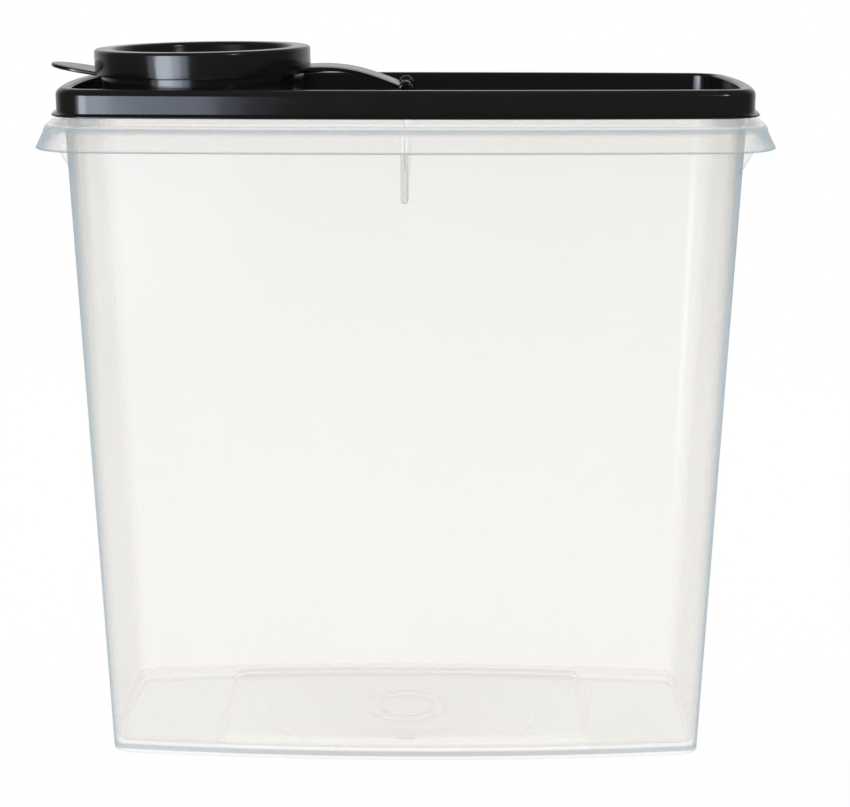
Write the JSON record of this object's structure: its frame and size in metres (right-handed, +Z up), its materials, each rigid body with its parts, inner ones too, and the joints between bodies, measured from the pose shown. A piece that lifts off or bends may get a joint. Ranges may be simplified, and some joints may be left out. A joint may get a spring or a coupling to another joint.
{
  "type": "cereal container with flip spout",
  "caption": "Clear moulded cereal keeper with a flared rim flange, a press-on black lid and a strap-hinged flip cap over an offset pouring neck.",
  "frame": {"origin": "under the middle of the base, on the surface the container stands on", "axes": "+Z up; +X along the width, away from the pouring neck; -Y towards the viewer of the picture"},
  "size_m": [0.253, 0.1076, 0.2506],
  "materials": {
    "clear_plastic": "milky translucent polypropylene, smooth",
    "black_plastic": "glossy black moulded plastic"
  },
  "bodies": {
    "tub_body": {"tub": "clear_plastic"},
    "lid_body": {"lid": "black_plastic"},
    "cap_body": {"spout_cap": "black_plastic"}
  },
  "joints": [
    {"name": "lid_lift", "type": "slide", "parent": "tub_body", "child": "lid_body", "axis": [0, 0, 1], "range_m": [0, 0.06]},
    {"name": "cap_flip", "type": "hinge", "parent": "lid_body", "child": "cap_body", "pos_m": [0, 0, 0.2367], "axis": [0, 1, 0], "range_deg": [0, 160]}
  ]
}
